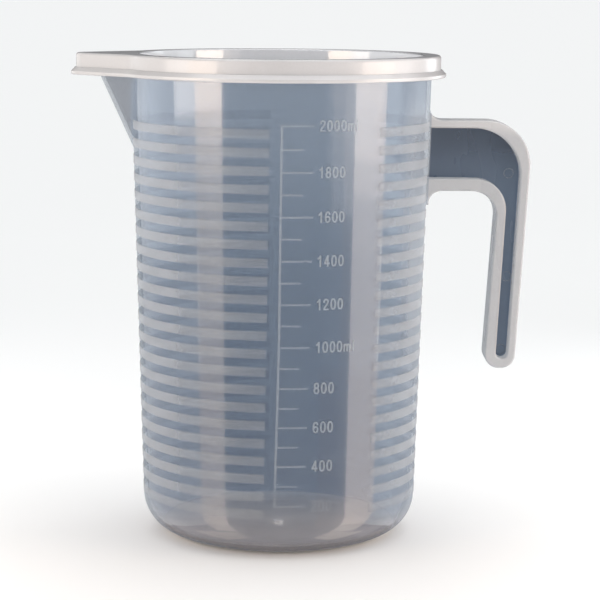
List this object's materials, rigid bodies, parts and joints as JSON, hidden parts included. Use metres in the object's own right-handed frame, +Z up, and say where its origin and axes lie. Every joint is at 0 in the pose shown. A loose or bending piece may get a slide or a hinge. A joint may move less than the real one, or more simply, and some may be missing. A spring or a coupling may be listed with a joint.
{
  "type": "measuring jug",
  "caption": "Translucent plastic measuring jug with a pouring lip, a hooked handle, a raised scale and a press-on lid.",
  "frame": {"origin": "on the jug's axis at the underside of its base", "axes": "+Z up along the jug's axis, pouring lip towards -X, handle towards +X, front of the scale towards -Y"},
  "size_m": [0.1967, 0.1406, 0.2071],
  "materials": {
    "jug_plastic": "translucent polypropylene, glossy, with frosted bands",
    "lid_plastic": "milky white polypropylene, smooth"
  },
  "bodies": {
    "root": {"jug": "jug_plastic", "lid": "lid_plastic"}
  },
  "joints": []
}
